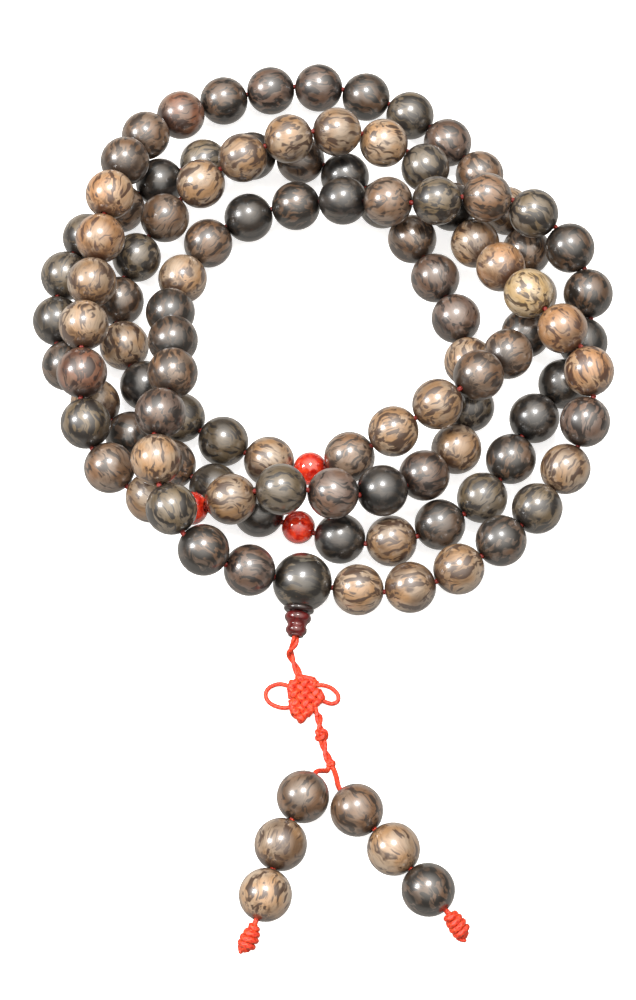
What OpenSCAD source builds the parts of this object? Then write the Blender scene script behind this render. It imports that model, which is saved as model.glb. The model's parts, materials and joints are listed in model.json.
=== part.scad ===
/* [Beads] */
// Diameter of a main bead
bead_d = 9.85; // [9.4:0.05:9.85]
// Diameter of a red glass divider bead
divider_d = 6.5; // [6:0.1:6.5]
// Diameter of the three-hole guru bead
guru_d = 11.4; // [10.8:0.1:11.5]
// Diameter of the hole through every bead
bore_d = 2; // [1.9:0.1:2.2]
// Clear gap between neighbours on the cord
bead_gap = 0.15; // [0.15:0.05:0.4]

/* [Stupa] */
// Angle of the stupa in plan, from straight to the front
stupa_turn = -7; // [-10:1:-4]
// Angle by which the stupa droops below level
stupa_droop = 8; // [6:1:10]
// Diameter of the dark collar against the guru bead
collar_d = 5.8; // [5.4:0.1:6]
// Diameter of the stupa's upper tier
tier_upper_d = 5.2; // [4.8:0.1:5.4]
// Diameter of the stupa's lower tier
tier_lower_d = 4; // [3.8:0.1:4.4]
// Diameter of the hole through the stupa
stupa_bore_d = 2.2; // [2.1:0.1:2.3]

/* [Cord] */
// Diameter of the single cord
cord_d = 1; // [0.8:0.1:1]
// Width of the doubled cord in the pendant
double_cord_d = 1.5; // [1.3:0.1:1.5]

/* [Knots] */
// Length of the endless knot
knot_length = 10; // [9:0.5:10]
// Width of the endless knot
knot_width = 7; // [6:0.5:7]
// Thickness of the endless knot
knot_thick = 2.4; // [2:0.1:2.6]
// Diameter of the round button knot
button_d = 2.7; // [2.4:0.1:2.8]
// Diameter of the small knot where the tails part
split_knot_d = 1.8; // [1.6:0.1:1.8]
// Largest diameter of a wrapped end knot
end_knot_d = 3.8; // [3:0.1:4]
// Length of a wrapped end knot
end_knot_length = 6; // [5:0.5:6.5]

/* [Hidden] */
$fn = 48;
BEAD_COLOURS = ["#6b5a4c", "#4a4038", "#3a3330", "#8a745c", "#5d5248"];
RED_CORD = "#e02a16";
CORD_SIDES = 8;

// The strand's route, one row of points a turn. It starts at the guru bead,
// runs clockwise seen from above and comes back to it after four turns.
TURNS = [
    [[-3, -20, 6], [-23, -16, 15], [-31, 1, 20], [-28, 21, 17], [-29, 41, 7],
     [-19, 58, 5], [0, 62, 9], [19, 58, 16], [39, 58, 16], [53, 46, 10],
     [52, 29, 5], [42, 14, 6], [32, -2, 5.5], [14, -11, 5]],
    [[-4, -8, 5], [-20, 0, 5], [-37.5, 12, 5], [-51, 29, 6], [-50, 49, 7],
     [-39, 64, 5], [-22, 74, 5], [-2, 74, 5], [14, 63, 5], [24, 46, 5],
     [30, 28, 5], [27, 8, 6], [11, -4, 12.5], [-9, -5, 16]],
    [[-27, -6, 10], [-43, 5, 12], [-46, 24, 17], [-44, 44, 16], [-41, 62, 16],
     [-34, 79, 9], [-18, 89, 5], [1, 91, 6], [19, 85, 5], [33, 71, 5],
     [42, 54, 5], [42, 35, 6], [32, 20, 16], [15, 9, 13]],
    [[-1, 4, 6], [-18, 10, 5], [-34, 22, 5], [-40, 41, 5], [-31, 59, 8],
     [-16, 69, 14], [3, 75, 15], [21, 71, 9], [31, 54, 8], [41, 38, 16],
     [53, 21, 14], [48, 3, 7], [35, -12, 7], [18, -21, 6]]
];
BEADS_A_TURN = 27;

// Where the pendant's pieces lie, in the same frame as the strand's route
KNOT_MID = [-2.3, -42, 1.2];
LEFT_EAR = [-7.8, -41.2, 0.6];
RIGHT_EAR = [2.4, -41.6, 0.6];
LEFT_EAR_R = 2.2;
RIGHT_EAR_R = 1.6;
KNOT_LIFT = [0.1, -45.4, 1];
BUTTON_MID = [0.6, -49.3, 1.35];
SPLIT_MID = [2.4, -55, 1.2];
LEFT_SPLIT = [1.7, -56.4, 1.2];
RIGHT_SPLIT = [3.1, -56.4, 1.2];
PENDANT_ROUTE = [[-4.5, -31.8, 4], [-5.3, -32.6, 2.6], [-5.3, -33.2, 1.5],
                 [-4.8, -34.2, 0.9], [-4.2, -35.6, 0.9], [-3.6, -37.2, 1.1]];
LOWER_ROUTE = [[0.3, -46.8, 1.1], [0.5, -48.6, 1.3]];
SPLIT_ROUTE = [[0.8, -50.2, 1.2], [1.3, -52.2, 0.9], [1.9, -54, 1], [2.2, -54.8, 1.2]];

// The endless knot's corners, as shares of its length and width
KNOT_CORNERS = [[-0.13, 0.38], [-0.31, 0.26], [-0.16, -0.29], [-0.07, -0.37],
                [0.33, 0.01], [0.16, 0.23]];

// Tail beads: centre of the first one, then the plan angles of the cord into
// the first bead, on to the second, on to the third and out to the end knot
LEFT_FIRST = [-2.8, -62.7];
LEFT_ANGLES = [-118, -114, -106, -113];
RIGHT_FIRST = [7.2, -65.3];
RIGHT_ANGLES = [-60, -48, -51, -49];
TAIL_BEND_PITCH = 10.1;
TAIL_PITCH = 10;
END_KNOT_GAP = 0.5;
END_KNOT_DROP = 0.4;
END_KNOT_DROOP = 25;
CLEAR = 0.12;

// Every piece on the strand in order: guru bead, then four runs of beads
// with a divider between each run and the next
STRAND_D = [guru_d, each [for (turn = [1:4]) each
    [each [for (i = [1:BEADS_A_TURN]) bead_d], each (turn < 4 ? [divider_d] : [])]]];
STRAND_COUNT = len(STRAND_D);
RUN = BEADS_A_TURN + 1;

function unit(v) = v / norm(v);
function direction(turn, droop = 0) =
    [cos(turn) * cos(droop), sin(turn) * cos(droop), -sin(droop)];
function smooth(a, b, c, d, t) = 0.5 * (2 * b + (c - a) * t
    + (2 * a - 5 * b + 4 * c - d) * t * t + (3 * b - a - 3 * c + d) * t * t * t);
function running_sum(v) =
    [for (i = 0, s = 0; i <= len(v); s = s + (i < len(v) ? v[i] : 0), i = i + 1) s];

// The route as a fine closed curve, and its length up to each sample
route = [for (turn = TURNS) each turn];
SAMPLES = 16;
fine = [for (i = [0:len(route) - 1], k = [0:SAMPLES - 1])
    smooth(route[(i + len(route) - 1) % len(route)], route[i],
           route[(i + 1) % len(route)], route[(i + 2) % len(route)], k / SAMPLES)];
lengths = running_sum([for (i = [0:len(fine) - 1]) norm(fine[(i + 1) % len(fine)] - fine[i])]);
tables = [for (axis = [0:2])
    [for (i = [0:len(fine)]) [lengths[i], fine[i % len(fine)][axis]]]];
function along(s) = [for (axis = [0:2]) lookup(s, tables[axis])];

// Each piece takes a share of the route's length in proportion to its size
starts = running_sum([for (d = STRAND_D) d + bead_gap]);
share = lengths[len(fine)] / starts[STRAND_COUNT];
lying = [for (i = [0:STRAND_COUNT - 1])
    along(share * (starts[i] - starts[0] + (STRAND_D[i] - STRAND_D[0]) / 2))];

// The tail beads' centres and hole directions, in order down each tail
function tail_beads(first, angles) = let (a = [first[0], first[1], bead_d / 2],
    b = a + TAIL_BEND_PITCH * direction(angles[1])) [a, b, b + TAIL_PITCH * direction(angles[2])];
function tail_dirs(angles) = [for (i = [0:2]) direction((angles[i] + angles[i + 1]) / 2)];
left_lying = tail_beads(LEFT_FIRST, LEFT_ANGLES);
right_lying = tail_beads(RIGHT_FIRST, RIGHT_ANGLES);

// The origin is under the middle of the beads, on the surface that they lie on
sink = min([for (i = [0:STRAND_COUNT - 1]) lying[i][2] - STRAND_D[i] / 2]);
low_x = min([for (p = lying) p[0]]) - bead_d / 2;
high_x = max([for (p = lying) p[0]]) + bead_d / 2;
low_y = min([for (p = [each left_lying, each right_lying]) p[1]]) - bead_d / 2;
high_y = max([for (p = lying) p[1]]) + bead_d / 2;
to_origin = [-(low_x + high_x) / 2, -(low_y + high_y) / 2, 0];
function placed(p) = p + to_origin;
centres = [for (p = lying) placed(p) - [0, 0, sink]];

// The cord crosses from bead to bead midway between their two holes' mouths. Each hole
// first lies along the line of its bead's neighbours, then turns to face its two crossings
function before(i) = (i + STRAND_COUNT - 1) % STRAND_COUNT;
function after(i) = (i + 1) % STRAND_COUNT;
function crossings(dirs) = [for (i = [0:STRAND_COUNT - 1]) let (j = after(i))
    (centres[i] + dirs[i] * STRAND_D[i] / 2 + centres[j] - dirs[j] * STRAND_D[j] / 2) / 2];
in_line = [for (i = [0:STRAND_COUNT - 1]) unit(centres[after(i)] - centres[before(i)])];
facing = crossings(in_line);
axes = [for (i = [0:STRAND_COUNT - 1]) unit(facing[i] - facing[before(i)])];
cord_points = crossings(axes);

// The stupa's own axis runs out of the guru bead's third hole
stupa_axis = direction(stupa_turn - 90, stupa_droop);
guru = centres[0];
CORE_START = 1.6;
COLLAR_START = 4.4;
COLLAR_LENGTH = 1.5;
TIER_UPPER_LENGTH = 2.4;
TIER_LOWER_LENGTH = 2.4;
TIER_ROUND = 0.6;
upper_start = COLLAR_START + COLLAR_LENGTH + CLEAR;
stupa_end = upper_start + TIER_UPPER_LENGTH + TIER_LOWER_LENGTH;
pendant_pivot = guru + stupa_end * stupa_axis;

left_beads = [for (p = left_lying) placed(p)];
right_beads = [for (p = right_lying) placed(p)];
left_dirs = tail_dirs(LEFT_ANGLES);
right_dirs = tail_dirs(RIGHT_ANGLES);
left_bend = (left_beads[0] + left_beads[1]) / 2;
right_bend = (right_beads[0] + right_beads[1]) / 2;

// Stands a shape's +Z along a direction at a point
module aim(point, dir) {
    translate(point) rotate([0, acos(dir[2]), atan2(dir[1], dir[0])]) children();
}

// A round bead with a hole along its axis
module bead(point, dir, d, hole = bore_d) {
    aim(point, dir) difference() {
        sphere(d = d);
        cylinder(d = hole, h = 2 * d, center = true);
    }
}

module strand_bead(i) {
    color(BEAD_COLOURS[i % len(BEAD_COLOURS)]) bead(centres[i], axes[i], STRAND_D[i]);
}

module quarter(run) {
    for (i = [1:BEADS_A_TURN]) strand_bead(run * RUN + i);
}

module last_quarter_bead(i) {
    strand_bead(3 * RUN + i);
}

module divider(run) {
    i = run * RUN;
    color("#c01f12") bead(centres[i], axes[i], STRAND_D[i]);
}

// One ring of a cord's tube, square to its route
function ring(p, tangent, r) = let (side = unit(cross(tangent, [0, 0.05, 1])),
    rise = cross(side, tangent))
    [for (k = [0:CORD_SIDES - 1]) let (a = 360 * k / CORD_SIDES)
        p + r * (cos(a) * side + sin(a) * rise)];

// A cord's stops are [point, share of its radius]; a cap's shrink to round an end
function stops(points) = [for (p = points) [p, 1]];
function cap(point, out, r, angles) = [for (a = angles) [point + r * sin(a) * out, cos(a)]];
function start_cap(points, r) = cap(points[0], unit(points[0] - points[1]), r, [75, 50, 25]);
function end_cap(points, r) = let (n = len(points))
    cap(points[n - 1], unit(points[n - 1] - points[n - 2]), r, [25, 50, 75]);

// Rings at every stop, joined into one tube
module tube(stops, r, closed = false) {
    n = len(stops);
    last = n - 1;
    rings = [for (i = [0:last])
        let (ahead = closed || i < last ? (i + 1) % n : i,
             behind = closed || i > 0 ? (i + n - 1) % n : i)
        each ring(stops[i][0], unit(stops[ahead][0] - stops[behind][0]), r * stops[i][1])];
    walls = [for (i = [0:closed ? last : last - 1], k = [0:CORD_SIDES - 1])
        let (a = i * CORD_SIDES, b = ((i + 1) % n) * CORD_SIDES, m = (k + 1) % CORD_SIDES)
        each [[a + k, b + k, b + m], [a + k, b + m, a + m]]];
    ends = closed ? [] : [[for (k = [0:CORD_SIDES - 1]) k],
                          [for (k = [CORD_SIDES - 1:-1:0]) last * CORD_SIDES + k]];
    polyhedron(points = rings, faces = [each walls, each ends]);
}

// A cord that is rounded about its first point, where a joint turns it
module jointed_cord(points, r) {
    color(RED_CORD) tube([each start_cap(points, r), each stops(points)], r);
}

module beads_first_quarter() {
    quarter(0);
}

module beads_second_quarter() {
    quarter(1);
}

module beads_third_quarter() {
    quarter(2);
}

module divider_first() {
    divider(1);
}

module divider_second() {
    divider(2);
}

module divider_third() {
    divider(3);
}

module main_cord() {
    color(RED_CORD) tube(stops(cord_points), cord_d / 2, closed = true);
}

module guru_bead() {
    color("#3c3a34") difference() {
        bead(guru, axes[0], guru_d);
        aim(guru, stupa_axis) cylinder(d = stupa_bore_d, h = guru_d);
    }
}

// The doubled cord inside the guru bead and the stupa
module guru_core_cord() {
    color(RED_CORD) aim(guru, stupa_axis) translate([0, 0, CORE_START])
        cylinder(d = double_cord_d, h = stupa_end - CORE_START - double_cord_d / 2 - CLEAR);
}

// Half the section of a turned disc with a rounded rim, standing on the X axis
module tier_section(d, length) {
    translate([0, TIER_ROUND]) square([d / 2, length - 2 * TIER_ROUND]);
    square([d / 2 - TIER_ROUND, length]);
    for (y = [TIER_ROUND, length - TIER_ROUND])
        translate([d / 2 - TIER_ROUND, y]) circle(r = TIER_ROUND);
}

// Turns the children's half section about the stupa's axis, less its hole
module turned(start) {
    aim(guru, stupa_axis) translate([0, 0, start]) rotate_extrude() difference() {
        children();
        translate([-guru_d, -1]) square([guru_d + stupa_bore_d / 2, guru_d]);
    }
}

module stupa_collar() {
    color("#2e1c19") difference() {
        turned(COLLAR_START) tier_section(collar_d, COLLAR_LENGTH);
        translate(guru) sphere(d = guru_d + 2 * CLEAR);
    }
}

module stupa_bead() {
    color("#5e1712") turned(upper_start) {
        tier_section(tier_upper_d, TIER_UPPER_LENGTH);
        translate([0, TIER_UPPER_LENGTH]) tier_section(tier_lower_d, TIER_LOWER_LENGTH);
    }
}

// The doubled cord from the stupa's mouth to the top of the endless knot
module pendant_cord() {
    jointed_cord([pendant_pivot, each [for (p = PENDANT_ROUTE) placed(p)]], double_cord_d / 2);
}

// The woven endless knot's outer shape, lying flat
module endless_knot() {
    color(RED_CORD) translate(placed(KNOT_MID)) hull() for (p = KNOT_CORNERS)
        translate([p[0] * knot_width, p[1] * knot_length]) sphere(d = knot_thick, $fn = 32);
}

module ear_loop(mid, r) {
    color(RED_CORD) translate(placed(mid)) rotate_extrude() translate([r, 0]) circle(d = cord_d);
}

module ear_loop_left() {
    ear_loop(LEFT_EAR, LEFT_EAR_R);
}

module ear_loop_right() {
    ear_loop(RIGHT_EAR, RIGHT_EAR_R);
}

// The doubled cord below the endless knot, which starts at the lift joint
module lower_cord() {
    jointed_cord([for (p = [KNOT_LIFT, each LOWER_ROUTE]) placed(p)], double_cord_d / 2);
}

module button_knot() {
    color(RED_CORD) translate(placed(BUTTON_MID)) sphere(d = button_d);
}

module split_cord() {
    color(RED_CORD) tube(stops([for (p = SPLIT_ROUTE) placed(p)]), double_cord_d / 2);
}

module split_knot() {
    color(RED_CORD) translate(placed(SPLIT_MID)) sphere(d = split_knot_d);
}

// The single cord from the split through the first tail bead to the bend
module upper_tail_cord(split, bead, dir, bend) {
    start = placed(split);
    entry = bead - dir * (bead_d / 2 + 0.6);
    points = [start, start + 0.4 * (entry - start) + [0, 0, 0.2], entry - [0, 0, 0.5],
              bead - dir * bead_d * 0.4, bead + dir * bead_d * 0.3,
              bend - (cord_d + CLEAR) * unit(bend - bead)];
    color(RED_CORD) tube([each start_cap(points, cord_d / 2), each stops(points),
                          each end_cap(points, cord_d / 2)], cord_d / 2);
}

// The single cord from the bend through the last two beads to the end knot
module lower_tail_cord(beads, dirs, knot_angle, bend) {
    jointed_cord([bend, beads[1] - dirs[1] * bead_d * 0.3, beads[1] + dirs[1] * bead_d * 0.3,
                  (beads[1] + beads[2]) / 2, beads[2] - dirs[2] * bead_d * 0.3,
                  beads[2] + dirs[2] * bead_d * 0.4, end_knot_start(beads, dirs)
                  + 0.5 * direction(knot_angle, END_KNOT_DROOP)], cord_d / 2);
}

function end_knot_start(beads, dirs) =
    beads[2] + dirs[2] * (bead_d / 2 + END_KNOT_GAP) - [0, 0, END_KNOT_DROP];

// A wrapped knot: a barrel of cord turns, widest in the middle
module end_knot(beads, dirs, knot_angle) {
    bulge_r = end_knot_length * 1.2;
    color(RED_CORD) aim(end_knot_start(beads, dirs), direction(knot_angle, END_KNOT_DROOP))
        rotate_extrude() intersection() {
            translate([end_knot_d / 2 - bulge_r, end_knot_length / 2]) circle(r = bulge_r);
            square([end_knot_d, end_knot_length]);
        }
}

module left_cord_upper() {
    upper_tail_cord(LEFT_SPLIT, left_beads[0], left_dirs[0], left_bend);
}

module left_cord_lower() {
    lower_tail_cord(left_beads, left_dirs, LEFT_ANGLES[3], left_bend);
}

module right_cord_upper() {
    upper_tail_cord(RIGHT_SPLIT, right_beads[0], right_dirs[0], right_bend);
}

module right_cord_lower() {
    lower_tail_cord(right_beads, right_dirs, RIGHT_ANGLES[3], right_bend);
}

module left_end_knot() {
    end_knot(left_beads, left_dirs, LEFT_ANGLES[3]);
}

module right_end_knot() {
    end_knot(right_beads, right_dirs, RIGHT_ANGLES[3]);
}

module left_tail_bead_1() {
    color("#6b5a4c") bead(left_beads[0], left_dirs[0], bead_d);
}

module left_tail_bead_2() {
    color("#8a745c") bead(left_beads[1], left_dirs[1], bead_d);
}

module left_tail_bead_3() {
    color("#7a6650") bead(left_beads[2], left_dirs[2], bead_d);
}

module right_tail_bead_1() {
    color("#4a4038") bead(right_beads[0], right_dirs[0], bead_d);
}

module right_tail_bead_2() {
    color("#8a745c") bead(right_beads[1], right_dirs[1], bead_d);
}

module right_tail_bead_3() {
    color("#332d2b") bead(right_beads[2], right_dirs[2], bead_d);
}

// The fourth quarter's beads, each a piece of its own, number on from the
// three quarters before it
module bead_082() { last_quarter_bead(1); }
module bead_083() { last_quarter_bead(2); }
module bead_084() { last_quarter_bead(3); }
module bead_085() { last_quarter_bead(4); }
module bead_086() { last_quarter_bead(5); }
module bead_087() { last_quarter_bead(6); }
module bead_088() { last_quarter_bead(7); }
module bead_089() { last_quarter_bead(8); }
module bead_090() { last_quarter_bead(9); }
module bead_091() { last_quarter_bead(10); }
module bead_092() { last_quarter_bead(11); }
module bead_093() { last_quarter_bead(12); }
module bead_094() { last_quarter_bead(13); }
module bead_095() { last_quarter_bead(14); }
module bead_096() { last_quarter_bead(15); }
module bead_097() { last_quarter_bead(16); }
module bead_098() { last_quarter_bead(17); }
module bead_099() { last_quarter_bead(18); }
module bead_100() { last_quarter_bead(19); }
module bead_101() { last_quarter_bead(20); }
module bead_102() { last_quarter_bead(21); }
module bead_103() { last_quarter_bead(22); }
module bead_104() { last_quarter_bead(23); }
module bead_105() { last_quarter_bead(24); }
module bead_106() { last_quarter_bead(25); }
module bead_107() { last_quarter_bead(26); }
module bead_108() { last_quarter_bead(27); }

main_cord();
guru_bead();
guru_core_cord();
beads_first_quarter();
beads_second_quarter();
beads_third_quarter();
divider_first();
divider_second();
divider_third();
bead_082();
bead_083();
bead_084();
bead_085();
bead_086();
bead_087();
bead_088();
bead_089();
bead_090();
bead_091();
bead_092();
bead_093();
bead_094();
bead_095();
bead_096();
bead_097();
bead_098();
bead_099();
bead_100();
bead_101();
bead_102();
bead_103();
bead_104();
bead_105();
bead_106();
bead_107();
bead_108();
stupa_collar();
stupa_bead();
pendant_cord();
endless_knot();
ear_loop_left();
ear_loop_right();
lower_cord();
button_knot();
split_cord();
split_knot();
left_cord_upper();
left_cord_lower();
right_cord_upper();
right_cord_lower();
left_tail_bead_1();
left_tail_bead_2();
left_tail_bead_3();
right_tail_bead_1();
right_tail_bead_2();
right_tail_bead_3();
left_end_knot();
right_end_knot();
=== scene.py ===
"""Mala prayer beads: the visible pieces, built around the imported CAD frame."""
import json
import math
import random

import bmesh
import bpy
from mathutils import Matrix, Vector
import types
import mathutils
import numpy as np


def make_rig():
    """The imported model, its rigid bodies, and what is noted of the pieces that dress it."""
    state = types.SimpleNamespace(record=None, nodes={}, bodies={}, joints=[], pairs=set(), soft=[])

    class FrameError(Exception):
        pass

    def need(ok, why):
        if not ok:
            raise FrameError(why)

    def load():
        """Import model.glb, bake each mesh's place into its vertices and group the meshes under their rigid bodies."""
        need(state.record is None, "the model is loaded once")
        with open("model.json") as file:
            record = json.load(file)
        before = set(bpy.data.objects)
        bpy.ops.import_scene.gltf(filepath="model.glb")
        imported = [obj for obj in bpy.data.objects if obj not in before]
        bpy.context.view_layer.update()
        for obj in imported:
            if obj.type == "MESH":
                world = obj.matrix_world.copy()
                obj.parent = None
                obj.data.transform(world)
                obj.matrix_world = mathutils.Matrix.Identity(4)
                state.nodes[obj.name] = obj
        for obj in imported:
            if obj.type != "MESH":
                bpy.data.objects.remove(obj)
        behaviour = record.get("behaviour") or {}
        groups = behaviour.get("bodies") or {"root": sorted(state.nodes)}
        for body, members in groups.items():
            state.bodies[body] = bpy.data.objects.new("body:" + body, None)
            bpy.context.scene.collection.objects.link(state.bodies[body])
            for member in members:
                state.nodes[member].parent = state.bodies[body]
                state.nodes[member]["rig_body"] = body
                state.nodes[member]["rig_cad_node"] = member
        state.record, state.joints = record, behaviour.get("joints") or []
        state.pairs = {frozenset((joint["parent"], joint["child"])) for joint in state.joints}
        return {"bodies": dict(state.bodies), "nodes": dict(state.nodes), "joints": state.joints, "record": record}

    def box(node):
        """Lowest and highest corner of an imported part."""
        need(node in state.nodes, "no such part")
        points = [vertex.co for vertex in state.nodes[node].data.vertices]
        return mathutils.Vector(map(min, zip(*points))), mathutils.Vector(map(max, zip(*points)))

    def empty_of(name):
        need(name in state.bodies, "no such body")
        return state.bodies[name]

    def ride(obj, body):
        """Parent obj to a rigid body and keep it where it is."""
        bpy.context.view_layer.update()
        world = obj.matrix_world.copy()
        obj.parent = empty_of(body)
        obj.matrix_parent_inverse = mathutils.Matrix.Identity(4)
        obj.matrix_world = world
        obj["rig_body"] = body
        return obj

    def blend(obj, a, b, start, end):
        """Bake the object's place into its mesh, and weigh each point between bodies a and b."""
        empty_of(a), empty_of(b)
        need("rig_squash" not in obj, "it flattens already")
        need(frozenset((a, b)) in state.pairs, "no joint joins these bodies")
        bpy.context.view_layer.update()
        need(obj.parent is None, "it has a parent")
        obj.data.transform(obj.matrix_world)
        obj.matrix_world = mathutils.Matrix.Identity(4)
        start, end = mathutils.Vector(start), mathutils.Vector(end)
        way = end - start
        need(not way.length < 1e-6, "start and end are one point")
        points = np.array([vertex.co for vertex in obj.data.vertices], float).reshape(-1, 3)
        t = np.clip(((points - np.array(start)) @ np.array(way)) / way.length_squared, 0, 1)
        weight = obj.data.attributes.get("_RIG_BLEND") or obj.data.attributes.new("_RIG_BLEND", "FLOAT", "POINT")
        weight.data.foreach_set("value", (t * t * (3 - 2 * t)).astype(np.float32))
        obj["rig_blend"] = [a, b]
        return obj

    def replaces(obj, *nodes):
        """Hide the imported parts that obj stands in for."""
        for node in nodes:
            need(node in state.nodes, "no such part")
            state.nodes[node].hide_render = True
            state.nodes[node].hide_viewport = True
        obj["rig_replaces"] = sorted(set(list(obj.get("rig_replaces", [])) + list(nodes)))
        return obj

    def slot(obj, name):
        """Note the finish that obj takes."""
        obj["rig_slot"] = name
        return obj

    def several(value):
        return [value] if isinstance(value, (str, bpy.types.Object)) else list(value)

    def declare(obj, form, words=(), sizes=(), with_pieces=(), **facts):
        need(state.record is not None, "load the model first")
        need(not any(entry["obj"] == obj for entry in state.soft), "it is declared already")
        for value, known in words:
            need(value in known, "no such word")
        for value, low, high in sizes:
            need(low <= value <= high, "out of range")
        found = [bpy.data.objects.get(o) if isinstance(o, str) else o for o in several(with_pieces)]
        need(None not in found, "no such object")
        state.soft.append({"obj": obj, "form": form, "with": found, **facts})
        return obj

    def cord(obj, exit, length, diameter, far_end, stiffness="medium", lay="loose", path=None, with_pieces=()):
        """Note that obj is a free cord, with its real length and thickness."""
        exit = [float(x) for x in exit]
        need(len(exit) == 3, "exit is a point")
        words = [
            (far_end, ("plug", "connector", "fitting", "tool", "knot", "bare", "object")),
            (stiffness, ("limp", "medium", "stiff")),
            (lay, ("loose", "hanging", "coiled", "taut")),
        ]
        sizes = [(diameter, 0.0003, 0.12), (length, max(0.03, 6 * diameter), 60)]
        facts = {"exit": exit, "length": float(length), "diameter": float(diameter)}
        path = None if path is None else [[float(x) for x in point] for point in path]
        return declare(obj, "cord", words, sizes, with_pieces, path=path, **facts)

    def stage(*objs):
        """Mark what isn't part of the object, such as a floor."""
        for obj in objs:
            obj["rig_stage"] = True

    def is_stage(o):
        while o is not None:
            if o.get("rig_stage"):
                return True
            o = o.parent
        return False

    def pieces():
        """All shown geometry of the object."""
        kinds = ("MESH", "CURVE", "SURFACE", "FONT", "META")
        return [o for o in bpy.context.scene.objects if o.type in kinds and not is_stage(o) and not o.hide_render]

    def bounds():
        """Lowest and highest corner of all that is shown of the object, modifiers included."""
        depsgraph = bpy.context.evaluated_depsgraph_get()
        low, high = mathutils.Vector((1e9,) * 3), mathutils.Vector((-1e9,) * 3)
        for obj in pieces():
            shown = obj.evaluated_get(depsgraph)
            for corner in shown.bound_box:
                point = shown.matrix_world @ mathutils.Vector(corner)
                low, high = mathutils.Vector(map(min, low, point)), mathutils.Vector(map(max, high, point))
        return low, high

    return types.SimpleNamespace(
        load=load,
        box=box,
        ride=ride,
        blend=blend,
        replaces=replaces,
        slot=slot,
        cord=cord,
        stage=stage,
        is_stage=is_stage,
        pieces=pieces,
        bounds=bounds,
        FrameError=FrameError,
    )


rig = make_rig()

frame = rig.load()
cad_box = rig.bounds()
MM = 0.001
UP = Vector((0, 0, 1))

# ---------------------------------------------------------------- the layout
# Sizes and routes repeat part.scad's, in millimetres.
BEAD_D, DIVIDER_D, GURU_D = 9.85, 6.5, 11.4
BORE_D, STUPA_BORE_D, BEAD_GAP = 2.0, 2.2, 0.15
CORD_D, DOUBLE_CORD_D = 1.0, 1.5
BEADS_A_TURN = 27
RUN = BEADS_A_TURN + 1
SAMPLES = 16
TURNS = [
    [(-3, -20, 6), (-23, -16, 15), (-31, 1, 20), (-28, 21, 17), (-29, 41, 7),
     (-19, 58, 5), (0, 62, 9), (19, 58, 16), (39, 58, 16), (53, 46, 10),
     (52, 29, 5), (42, 14, 6), (32, -2, 5.5), (14, -11, 5)],
    [(-4, -8, 5), (-20, 0, 5), (-37.5, 12, 5), (-51, 29, 6), (-50, 49, 7),
     (-39, 64, 5), (-22, 74, 5), (-2, 74, 5), (14, 63, 5), (24, 46, 5),
     (30, 28, 5), (27, 8, 6), (11, -4, 12.5), (-9, -5, 16)],
    [(-27, -6, 10), (-43, 5, 12), (-46, 24, 17), (-44, 44, 16), (-41, 62, 16),
     (-34, 79, 9), (-18, 89, 5), (1, 91, 6), (19, 85, 5), (33, 71, 5),
     (42, 54, 5), (42, 35, 6), (32, 20, 16), (15, 9, 13)],
    [(-1, 4, 6), (-18, 10, 5), (-34, 22, 5), (-40, 41, 5), (-31, 59, 8),
     (-16, 69, 14), (3, 75, 15), (21, 71, 9), (31, 54, 8), (41, 38, 16),
     (53, 21, 14), (48, 3, 7), (35, -12, 7), (18, -21, 6)],
]
PENDANT_ROUTE = [(-4.5, -31.8, 4), (-5.3, -32.6, 2.6), (-5.3, -33.2, 1.5),
                 (-4.8, -34.2, 0.9), (-4.2, -35.6, 0.9), (-3.6, -37.2, 1.1)]
KNOT_MID = (-2.3, -42, 1.2)
LOWER_ROUTE = [(0.3, -46.8, 1.1), (0.5, -48.6, 1.3)]
SPLIT_ROUTE = [(0.8, -50.2, 1.2), (1.3, -52.2, 0.9), (1.9, -54, 1), (2.2, -54.8, 1.2)]
END_KNOT_TURNS = {"left": -113, "right": -49}
END_KNOT_GAP, END_KNOT_DROP, END_KNOT_DROOP = 0.5, 0.4, 25
END_KNOT_D, END_KNOT_LENGTH = 3.8, 6.0


def smooth(a, b, c, d, t):
    """A point of the Catmull-Rom curve between b and c."""
    return 0.5 * (2 * b + (c - a) * t + (2 * a - 5 * b + 4 * c - d) * t * t
                  + (3 * b - a - 3 * c + d) * t ** 3)


def crossings(diameters, centres, axes):
    """Where the cord passes from each piece to the next, midway between their holes."""
    ends = [[c + side * d / 2 * a for d, c, a in zip(diameters, centres, axes)]
            for side in (1, -1)]
    return [(ends[0][i] + ends[1][(i + 1) % len(centres)]) / 2 for i in range(len(centres))]


def strand_layout():
    """Diameters, centres and hole directions of the strand's 112 pieces, before the shift."""
    diameters = [GURU_D]
    for turn in range(4):
        diameters += [BEAD_D] * BEADS_A_TURN + ([DIVIDER_D] if turn < 3 else [])
    route = [Vector(p) for turn in TURNS for p in turn]
    n = len(route)
    fine = [smooth(route[i - 1], route[i], route[(i + 1) % n], route[(i + 2) % n], k / SAMPLES)
            for i in range(n) for k in range(SAMPLES)]
    lengths = [0.0]
    for i, p in enumerate(fine):
        lengths.append(lengths[-1] + (fine[(i + 1) % len(fine)] - p).length)
    starts = [0.0]
    for d in diameters:
        starts.append(starts[-1] + d + BEAD_GAP)
    share = lengths[-1] / starts[-1]
    centres, k = [], 0
    for start, d in zip(starts, diameters):
        s = share * (start - starts[0] + (d - diameters[0]) / 2)
        while lengths[k + 1] < s:
            k += 1
        t = (s - lengths[k]) / (lengths[k + 1] - lengths[k])
        centres.append(fine[k].lerp(fine[(k + 1) % len(fine)], t))
    count = len(centres)
    axes = [(centres[(i + 1) % count] - centres[i - 1]).normalized() for i in range(count)]
    facing = crossings(diameters, centres, axes)
    axes = [(facing[i] - facing[i - 1]).normalized() for i in range(count)]
    return diameters, centres, axes


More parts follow.
